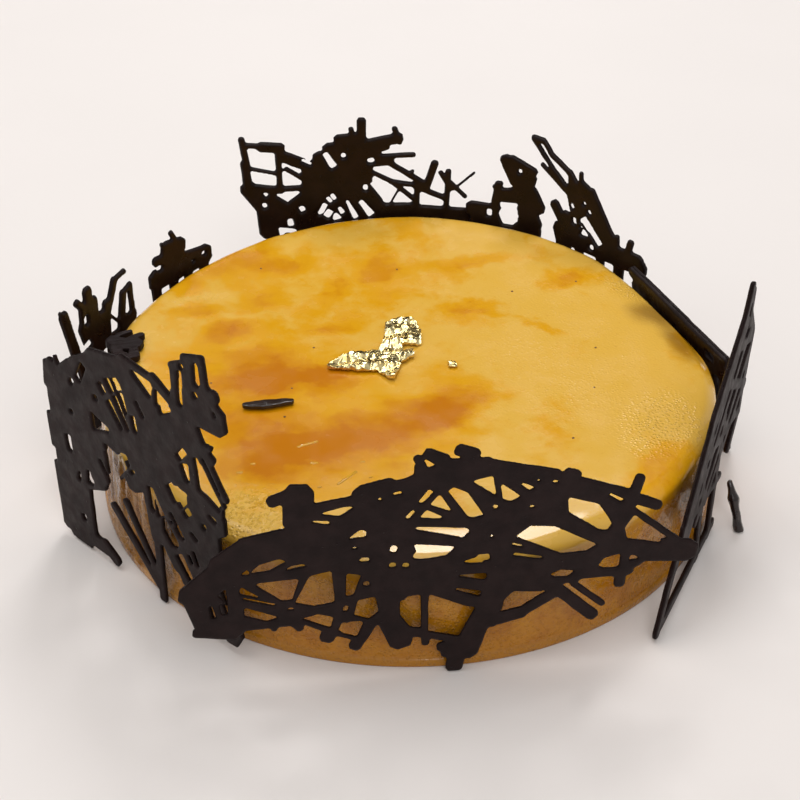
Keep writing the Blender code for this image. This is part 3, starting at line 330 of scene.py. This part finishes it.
def glaze_material():
    """Amber and cream mirror glaze on the top, with painted shade in the dip beside the slab
    and at the front-right rim, duller and browner on the side.
    """
    tone = shades()
    s = Shader("glaze")
    warp = s.vector("SUBTRACT", s.noise(17, 4, 0.55, colour=True), (0.5, 0.5, 0.5))
    swirled = s.vector("ADD", s.place, s.vector("SCALE", warp, scale=26.0))
    # The amber includes painted shade at the front-right rim
    amber = s.patches(AMBER_SWIRLS_AND_RIM_SHADE, HEIGHT, 60, swirled)
    cloud = s.noise(30, 5, 0.6, place=swirled)
    amber = s.math("ADD", amber, s.ranged(cloud, 0.40, 0.75, -0.06, 0.34))
    fine = s.noise(4.5, 3, 0.6)
    amber = s.math("ADD", amber, s.ranged(fine, 0.3, 0.7, -0.05, 0.05), clamp=True)
    top = s.ramp(amber, [(0.0, tone["pale"]), (0.34, tone["yellow"]),
                         (0.68, tone["amber"]), (1.0, tone["dark"])])
    warp_less = s.vector("ADD", s.place, s.vector("SCALE", warp, scale=9.0))
    # Painted shade: the glaze in the dip beside the leaning slab is darkened to brown
    dip_shade = s.patches(DIP_SHADE_PATCHES, HEIGHT, 30, warp_less)
    top = s.mix(s.math("MULTIPLY", dip_shade, 1.0, clamp=True), top, tone["dip_shade"])
    split = s.tree.nodes.new("ShaderNodeSeparateXYZ")
    s.link(s.place, split.inputs[0])
    up = split.outputs["Z"]
    side = s.mix(s.ranged(s.noise(9, 4, 0.6), 0.35, 0.7), tone["side"], tone["side_dark"])
    side = s.mix(s.ranged(up, 0.0, 26.0, 0.55, 0.0), side, tone["side_dark"])
    side = s.mix(s.ranged(up, 3.4, 2.7), side, tone["foot"])
    stretched = s.vector("MULTIPLY", s.place, (1.0, 1.0, 0.35))
    torn_noise = s.noise(7.0, 2, 0.5, place=stretched)
    torn = s.mix(s.ranged(torn_noise, 0.3, 0.58), tone["torn_dark"], tone["torn"])
    middle = math.radians((TORN_FROM + TORN_TO) / 2)
    toward = s.vector("DOT_PRODUCT", s.place, (math.cos(middle), math.sin(middle), 0.0))
    reach = WALL_RADIUS * math.cos(math.radians((TORN_TO - TORN_FROM) / 2))
    side = s.mix(s.ranged(toward, reach - 3, reach + 6), side, torn)
    colour = s.mix(s.ranged(up, HEIGHT - ROUNDING - 4, HEIGHT - 1.5), side, top)
    bubbly = s.patches(BUBBLES, HEIGHT, 40, warp_less)
    bubbly = s.math("ADD", bubbly, s.ranged(up, 36, 30, 0.0, 0.8), clamp=True)
    grains = s.ranged(s.cells(1.15), 0.05, 0.6, 1.0, 0.0)
    grains = s.math("MULTIPLY", grains, bubbly)
    peel = s.bump(s.noise(2.4, 2, 0.5), 0.10, 0.35)
    rough_height = s.bump(grains, 0.35, 1.0, onto=peel)
    specks = s.ranged(s.noise(1.1, 2, 0.5), 0.66, 0.72, 0.0, 0.25)
    colour = s.mix(specks, colour, tone["dark"])
    roughness = s.ranged(s.noise(12, 3), 0.3, 0.7, 0.16, 0.30)
    return s.finish(colour, roughness, rough_height, Coat_Weight=0.4, Coat_Roughness=0.06,
                    IOR=1.42, Specular_IOR_Level=0.4)


def chocolate_material(name, low, high, rough_low, rough_high, pit_share, gloss, shine):
    """Dark chocolate between two colours, with dust, fine grain and scattered pits."""
    s = Shader(name)
    tint = s.ranged(s.noise(7, 4, 0.6), 0.3, 0.7)
    colour = s.mix(tint, low, high)
    dust = s.ranged(s.noise(0.9, 3, 0.6), 0.62, 0.78, 0.0, 0.5)
    colour = s.mix(dust, colour, tuple(1.7 * c for c in high))
    pits = s.ranged(s.cells(2.9), 0.02, 0.13, 1.0, 0.0)
    sparse = s.ranged(s.noise(8, 1), 0.55 - pit_share, 0.7 - pit_share)
    pits = s.math("MULTIPLY", pits, sparse)
    grain = s.bump(s.noise(0.8, 3, 0.6), 0.06, 0.5)
    flow = s.bump(s.noise(3.5, 2, 0.5), 0.25, 0.5, onto=grain)
    normal = s.bump(pits, 0.3, 0.8, onto=flow)
    roughness = s.ranged(s.noise(5, 3, 0.6), 0.3, 0.7, rough_low, rough_high)
    roughness = s.math("SUBTRACT", roughness, s.math("MULTIPLY", pits, 0.25), clamp=True)
    return s.finish(colour, roughness, normal, Coat_Weight=gloss, Coat_Roughness=0.15,
                    IOR=1.46, Specular_IOR_Level=shine)


def gold_material():
    s = Shader("gold_leaf")
    colour = s.mix(s.ranged(s.noise(2.5, 3, 0.6), 0.35, 0.65),
                   (0.90, 0.78, 0.44), (0.66, 0.49, 0.19))
    crease = s.cells(3.6, "DISTANCE_TO_EDGE")
    normal = s.bump(s.ranged(crease, 0.0, 0.2), 0.25, 0.5)
    normal = s.bump(s.noise(1.4, 2, 0.5), 0.08, 0.4, onto=normal)
    roughness = s.ranged(s.noise(1.6, 2), 0.3, 0.7, 0.16, 0.36)
    return s.finish(colour, roughness, normal, Metallic=1.0)


def plain_material(name, colour, roughness, bump_length, bump_height, contrast=0.2):
    s = Shader(name)
    normal = s.bump(s.noise(bump_length, 3, 0.6), bump_height, 0.6)
    shade = s.mix(s.ranged(s.noise(bump_length * 2, 2), 0.3, 0.7), colour,
                  tuple((1 - contrast) * c for c in colour))
    return s.finish(shade, roughness, normal)


def add_piece(name, points, faces, materials, replaced=()):
    """A smooth-shaded piece from points in millimetres, riding on the cake."""
    mesh = bpy.data.meshes.new(name)
    mesh.from_pydata((np.asarray(points) * MM).tolist(), [], faces)
    mesh.validate()
    mesh.polygons.foreach_set("use_smooth", [True] * len(mesh.polygons))
    piece = bpy.data.objects.new(name, mesh)
    bpy.context.scene.collection.objects.link(piece)
    for material in materials:
        mesh.materials.append(material)
    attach(piece, "root")
    if replaced:
        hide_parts(*replaced)
    return piece


def grain_mesh(points, faces, grain, rounds):
    """The closed solid again, as even small quads with softened edges."""
    mesh = bpy.data.meshes.new("grain")
    mesh.from_pydata(points.tolist(), [], faces)
    holder = bpy.data.objects.new("grain", mesh)
    bpy.context.scene.collection.objects.link(holder)
    remesh = holder.modifiers.new("remesh", "REMESH")
    remesh.mode = "VOXEL"
    remesh.voxel_size = grain
    relax = holder.modifiers.new("relax", "SMOOTH")
    relax.factor = 0.5
    relax.iterations = rounds
    graph = bpy.context.evaluated_depsgraph_get()
    result = bpy.data.meshes.new_from_object(holder.evaluated_get(graph))
    corners = np.empty(len(result.vertices) * 3)
    result.vertices.foreach_get("co", corners)
    faces = [tuple(polygon.vertices) for polygon in result.polygons]
    bpy.data.objects.remove(holder, do_unlink=True)
    bpy.data.meshes.remove(mesh)
    bpy.data.meshes.remove(result)
    return corners.reshape(-1, 3), faces


def node_mesh(name):
    """A CAD node's points in millimetres, and its faces."""
    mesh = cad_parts[name].data
    points = np.empty(len(mesh.vertices) * 3)
    mesh.vertices.foreach_get("co", points)
    points = points.reshape(-1, 3) / MM
    unique, where = np.unique(points.round(3), axis=0, return_inverse=True)
    where = where.ravel()
    faces = []
    for polygon in mesh.polygons:
        corners = [int(where[v]) for v in polygon.vertices]
        if len(set(corners)) == len(corners):
            faces.append(corners)
    return unique, faces


def face_normals(points, faces):
    quads = np.array([face[:3] for face in faces])
    one = points[quads[:, 1]] - points[quads[:, 0]]
    two = points[quads[:, 2]] - points[quads[:, 0]]
    normals = np.cross(one, two)
    return normals / np.maximum(np.linalg.norm(normals, axis=1), 1e-9)[:, None]


def panel_axes(name):
    bearing, inner, lean, _ = PANELS[name]
    turn = math.radians(bearing)
    tilt = math.radians(lean)
    outward = np.array([math.cos(turn), math.sin(turn), 0.0])
    along = np.array([-math.sin(turn), math.cos(turn), 0.0])
    rise = np.array([0.0, 0.0, 1.0])
    up = math.cos(tilt) * rise - math.sin(tilt) * outward
    normal = math.cos(tilt) * outward + math.sin(tilt) * rise
    return outward * inner, np.array([along, up, normal])


def rim_distance(points, thickness):
    """How far each point of a panel is from the panel's nearest cut edge, in its plane."""
    depth = points[:, 2]
    low, high = (share * thickness for share in CUT_EDGE)
    walls = points[(depth > low) & (depth < high)]
    tree = kdtree.KDTree(len(walls))
    for number, (u, v, _) in enumerate(walls):
        tree.insert((u, v, 0.0), number)
    tree.balance()
    return np.array([tree.find((u, v, 0.0))[2] for u, v, _ in points])


def make_panel(name, seed, materials):
    """A panel with soft edges: nearly flat outside and domed, as piped, inside."""
    centre, axes = panel_axes(name)
    points, faces = node_mesh(name)
    local = (points - centre) @ axes.T
    local, faces = grain_mesh(local, faces, PANEL_GRAIN, 1)
    thickness = PANELS[name][3]
    distance = rim_distance(local, thickness)
    outside = local[:, 2] > thickness / 2
    outer = 1 - np.clip(distance / OUTER_ROUND, 0, 1)
    inner = 1 - np.clip(distance / INNER_ROUND, 0, 1)
    flat = local[:, :2]
    fall = OUTER_FALL * (1 - np.sqrt(1 - outer ** 2))
    fall += OUTER_WAVE * (1 + waves(flat, OUTER_WAVE_LENGTH, seed))
    rise = INNER_FALL * (1 - np.sqrt(1 - inner ** 2))
    rise += INNER_WAVE * (1 + waves(flat, INNER_WAVE_LENGTH, seed + 1))
    local[:, 2] += np.where(outside, -fall, rise)
    local[:, :2] += PANEL_SWAY * wander(flat, PANEL_SWAY_LENGTH, seed + 2, 2)
    local[:, 1] = np.maximum(local[:, 1], PANEL_LOWEST)
    piece = add_piece(name + "_chocolate", local @ axes + centre, faces, materials,
                      [name])
    toward_cake = face_normals(local, faces)[:, 2] < TOWARD_CAKE
    piece.data.polygons.foreach_set("material_index", toward_cake.astype(np.int32))


def make_loose(name, grain, rounds, wobble, seed, material, slot):
    """A small loose piece with soft, slightly uneven sides."""
    points, faces = node_mesh(name)
    points, faces = grain_mesh(points, faces, grain, rounds)
    points = points + wobble * wander(points, LOOSE_WAVE_LENGTH, seed, 3)
    add_piece(name + "_" + slot, points, faces, [material], [name])


def crumpled(flat, seed):
    """Height of crumpled foil: flat facets that meet in creases."""
    random = np.random.default_rng(seed)
    total = np.zeros(len(flat))
    for length in CRUMPLE_LENGTHS:
        angle = random.uniform(0, math.pi)
        across = flat @ np.array([math.cos(angle), math.sin(angle)])
        bend = 0.8 * waves(flat, 2.5 * length, seed + int(10 * length))
        share = (across + bend) / length + random.uniform(0, 1)
        total += length / 9 * (2 * np.abs(share % 1 - 0.5) - 0.5)
    return total


def make_gold(name, grain, height, seed, material):
    """A piece of gold leaf whose upper side is crumpled up to about twice height."""
    points, faces = node_mesh(name)
    floor = points[:, 2].min()
    points, faces = grain_mesh(points, faces, grain, 1)
    flat = points[:, :2]
    share = np.clip((points[:, 2] - floor) / GOLD_BASE, 0, 1)
    points[:, 2] = floor + share * (GOLD_LEAST + height * (1 + crumpled(flat, seed)))
    flat += GOLD_SWAY * wander(flat, GOLD_SWAY_LENGTH, seed + 5, 2)
    add_piece(name + "_foil", points, faces, [material], [name])


def rear_rise(y, height):
    """How much higher a place stands at the back, in proportion to its height."""
    share = np.maximum(y - REAR_RISE_START, 0) / (TOP_RADIUS - REAR_RISE_START)
    return REAR_RISE * share ** 2 * height / HEIGHT


def cake_rings():
    """Radius and height of each ring of points, from the underside to the middle."""
    shoulder = HEIGHT - ROUNDING
    rings = [(0.55 * FOOT_RADIUS, 0.0), (FOOT_RADIUS - FOOT_CHAMFER, 0.0),
             (FOOT_RADIUS - 0.1, 0.15), (FOOT_RADIUS, FOOT_CHAMFER),
             (FOOT_RADIUS, FOOT_HEIGHT - 0.7), (FOOT_RADIUS - 0.2, FOOT_HEIGHT - 0.2),
             (WALL_RADIUS - 0.15, FOOT_HEIGHT + 0.1)]
    for share in np.linspace(0.03, 1, WALL_RINGS):
        rings.append((WALL_RADIUS + share * (TOP_RADIUS - WALL_RADIUS),
                      FOOT_HEIGHT + share * (shoulder - FOOT_HEIGHT)))
    for turn in np.radians(np.linspace(90 / EDGE_RINGS, 90, EDGE_RINGS)):
        rings.append((TOP_RADIUS - ROUNDING * (1 - math.cos(turn)),
                      shoulder + ROUNDING * math.sin(turn)))
    for radius in np.linspace(TOP_RADIUS - ROUNDING - 1.2, 1.5, TOP_RINGS):
        rings.append((radius, HEIGHT))
    return rings


def ring_faces(first, rings, around):
    """Faces of a closed shape made of rings of points, the first point numbered first."""
    faces = []
    for ring in range(rings - 1):
        low = first + ring * around
        high = low + around
        for step in range(around):
            after = (step + 1) % around
            faces.append((low + step, low + after, high + after, high + step))
    last = first + (rings - 1) * around
    faces.append(tuple(range(first + around - 1, first - 1, -1)))
    faces.append(tuple(range(last, last + around)))
    return faces


def torn_share(degrees, height, body):
    """How torn the side is at each place, from 0 to 1."""
    share = (degrees - TORN_FROM) / (TORN_TO - TORN_FROM)
    torn = smooth_step(share, 0, TORN_FADE) * smooth_step(1 - share, 0, TORN_FADE)
    return torn * body * smooth_step(HEIGHT + 1 - height, 0, 8)


def pressed_in(radius, facing, limit):
    """The radius, softly held inside the slab's plane near the rim."""
    reach = np.where(facing > 0.5, limit / np.maximum(facing, 0.5), 1e3)
    gap = reach - radius
    pressed = 0.5 * (radius + reach - np.sqrt(gap * gap + DENT_SOFTNESS ** 2))
    near = (radius > DENT_START * TOP_RADIUS) & (gap < DENT_RANGE * DENT_SOFTNESS)
    return np.where(near, np.minimum(radius, pressed), radius)


def cake_points(rings):
    """The cake's points ring by ring, with the relief of its side and top."""
    radius, height = (np.array(side)[:, None] * np.ones(SECTORS) for side in zip(*rings))
    bearings = np.radians(np.arange(SECTORS) * 360 / SECTORS - 180)
    bearing = np.ones(len(rings))[:, None] * bearings
    body = smooth_step(height, FOOT_HEIGHT, FOOT_HEIGHT + 4)
    on_top = smooth_step(height, HEIGHT - ROUNDING, HEIGHT)
    flat = np.stack([radius * np.cos(bearing), radius * np.sin(bearing), height], -1)
    flat = flat.reshape(-1, 3)

    def relief(length, seed, stretch=(1.0, 1.0, 1.0)):
        return waves(flat * np.array(stretch), length, seed).reshape(body.shape)

    ripple = 0.7 * relief(26, 3)
    radius = radius - WALL_WAVE * body * (1.0 + ripple + 0.3 * relief(9, 4))
    upright = (1.0, 1.0, TORN_STRETCH)
    folds = np.abs(relief(10, 5, upright)) * 0.8 + np.abs(relief(4.5, 6, upright)) * 0.16
    radius = radius - TORN_DEPTH * torn_share(np.degrees(bearing), height, body) * folds
    height = height + rear_rise(radius * np.sin(bearing), height)
    limit = SLAB_INNER - height * math.tan(math.radians(SLAB_LEAN)) - SLAB_CLEARANCE
    facing = np.cos(bearing - math.radians(SLAB_BEARING))
    radius = pressed_in(radius, facing, limit)
    sideways = radius * np.sin(bearing - math.radians(SLAB_BEARING))
    near = np.clip(1 - (limit - radius * facing) / DENT_REACH, 0, 1)
    within = smooth_step(SLAB_HALF_WIDTH - np.abs(sideways), 0, DENT_FADE)
    height = height - DENT_DEPTH * near ** 2 * within * on_top
    wave = relief(34, 7, (1.0, 1.0, 0.0)) + 0.35 * relief(11, 8)
    height = height - on_top * (TOP_DROP + TOP_WAVE * wave)
    front = smooth_step(np.cos(bearing - math.radians(RIM_SLOPE_BEARING)), 0.0, 0.6)
    start = TOP_RADIUS - ROUNDING - RIM_SLOPE_WIDTH
    fallen = np.clip((radius - start) / (TOP_RADIUS - start), 0, 1)
    height = height - RIM_SLOPE_DROP * front * fallen ** 2 * on_top
    points = np.stack([radius * np.cos(bearing), radius * np.sin(bearing), height], -1)
    return points.reshape(-1, 3)


def make_cake(material):
    rings = cake_rings()
    faces = ring_faces(0, len(rings), SECTORS)
    add_piece("cake_glazed", cake_points(rings), faces, [material], ["cake"])


def make_domes(name, rows, rise, material, around=16, rings=5):
    """Low rounded drops on the cake's top, each as long as its row says."""
    points = []
    faces = []
    for x0, y0, x1, y1, width in rows:
        start = np.array([x0, y0])
        end = np.array([x1, y1])
        length = max(np.linalg.norm(end - start), 1e-6)
        along = (end - start) / length
        across = np.array([-along[1], along[0]])
        faces += ring_faces(len(points), rings, around)
        for ring in range(rings):
            turn = math.pi / 2 * ring / rings
            reach = width / 2 * math.cos(turn)
            for step in range(around):
                angle = 2 * math.pi * step / around
                push = np.sign(round(math.cos(angle), 6)) * length / 2
                flat = (start + end) / 2 + along * (reach * math.cos(angle) + push)
                flat = flat + across * reach * math.sin(angle)
                base = HEIGHT - DOME_SUNK + rear_rise(flat[1], HEIGHT)
                points.append((*flat, base + rise * math.sin(turn)))
    add_piece(name, points, faces, [material])


def make_floor():
    mesh = bpy.data.meshes.new("floor")
    half = FLOOR_HALF
    mesh.from_pydata([(-half, -half, 0), (half, -half, 0), (half, half, 0), (-half, half, 0)],
                     [], [(0, 1, 2, 3)])
    floor = bpy.data.objects.new("floor", mesh)
    bpy.context.scene.collection.objects.link(floor)
    mesh.materials.append(plain_material("floor", (0.80, 0.75, 0.725), 0.8, 60.0, 0.0, 0.015))


def make_world():
    """Soft light from all round, dimmer where the glaze would mirror it."""
    world = bpy.data.worlds.new("room")
    bpy.context.scene.world = world
    world.use_nodes = True
    tree = world.node_tree
    place = tree.nodes.new("ShaderNodeTexCoord")
    dot = tree.nodes.new("ShaderNodeVectorMath")
    dot.operation = "DOT_PRODUCT"
    elevation = math.radians(CAMERA_DOWN)
    dot.inputs[1].default_value = (0, math.cos(elevation), math.sin(elevation))
    tree.links.new(place.outputs["Generated"], dot.inputs[0])
    near = tree.nodes.new("ShaderNodeMapRange")
    near.interpolation_type = "SMOOTHSTEP"
    for socket, edge in zip(("From Min", "From Max"), DIM_ZONE):
        near.inputs[socket].default_value = math.cos(math.radians(edge))
    tree.links.new(dot.outputs["Value"], near.inputs["Value"])
    mix = tree.nodes.new("ShaderNodeMix")
    mix.data_type = "RGBA"
    mix.inputs[6].default_value = ROOM_COLOUR
    mix.inputs[7].default_value = DIM_COLOUR
    tree.links.new(near.outputs["Result"], mix.inputs[0])
    tree.links.new(mix.outputs[2], tree.nodes["Background"].inputs["Color"])
    tree.nodes["Background"].inputs["Strength"].default_value = ROOM_STRENGTH


def add_lamp(name, place, size, power, colour):
    """A square soft light that faces the cake."""
    lamp = bpy.data.lights.new(name, "AREA")
    lamp.size = size
    lamp.energy = power
    lamp.color = colour
    holder = bpy.data.objects.new(name, lamp)
    bpy.context.scene.collection.objects.link(holder)
    holder.location = place
    holder.rotation_euler = (-Vector(place)).to_track_quat("-Z", "Y").to_euler()


def make_camera():
    camera = bpy.data.cameras.new("camera")
    camera.sensor_width = SENSOR_WIDTH
    camera.lens = CAMERA_LENS
    camera.clip_end = 50
    holder = bpy.data.objects.new("camera", camera)
    bpy.context.scene.collection.objects.link(holder)
    holder.location = [MM * c for c in CAMERA_PLACE]
    holder.rotation_euler = (math.radians(90 - CAMERA_DOWN), 0, 0)
    bpy.context.scene.camera = holder


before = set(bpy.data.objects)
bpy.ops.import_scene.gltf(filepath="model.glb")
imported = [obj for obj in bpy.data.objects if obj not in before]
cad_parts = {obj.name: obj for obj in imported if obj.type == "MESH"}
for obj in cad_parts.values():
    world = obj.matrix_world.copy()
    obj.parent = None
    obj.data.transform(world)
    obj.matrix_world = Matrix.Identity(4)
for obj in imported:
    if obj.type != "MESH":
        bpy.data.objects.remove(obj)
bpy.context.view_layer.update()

glaze = glaze_material()
outer_chocolate = chocolate_material("chocolate_outside", (0.0105, 0.0052, 0.0050),
                                     (0.0180, 0.0092, 0.0088), 0.42, 0.58, 0.05, 0.0, 0.14)
inner_chocolate = chocolate_material("chocolate_inside", (0.0070, 0.0030, 0.0024),
                                     (0.0130, 0.0056, 0.0044), 0.26, 0.44, 0.12, 0.08, 0.16)
wet_chocolate = chocolate_material("chocolate_wet", (0.010, 0.005, 0.004),
                                   (0.022, 0.010, 0.007), 0.12, 0.25, 0.12, 0.5, 0.32)
gold = gold_material()

make_cake(glaze)
for count, panel in enumerate(PANELS):
    make_panel(panel, 20 + 7 * count, [outer_chocolate, inner_chocolate])
make_loose("rim_twigs", 0.3, 2, 0.15, 101, outer_chocolate, "chocolate")
make_loose("right_splinter", 0.3, 4, 0.25, 111, wet_chocolate, "chocolate")
make_loose("chocolate_shard", 0.22, 4, 0.15, 121, wet_chocolate, "chocolate")
make_gold("gold_leaf", 0.33, 1.0, 131, gold)
make_gold("gold_fleck", 0.2, 0.25, 137, gold)
drop = plain_material("glaze_drop", (0.68, 0.34, 0.02), 0.04, 3.0, 0.02)
make_domes("glaze_drops", STREAKS, 0.6, drop)
speck = plain_material("speck", (0.16, 0.06, 0.012), 0.4, 1.0, 0.05)
speck_rows = [(x, y, x + 0.01, y, 2 * SPECK_RADIUS) for x, y in SPECKS]
make_domes("glaze_specks", speck_rows, 0.55, speck, around=10, rings=3)

make_floor()
make_world()
for lamp in LAMPS:
    add_lamp(*lamp)
make_camera()
bpy.context.scene.view_settings.view_transform = "Standard"
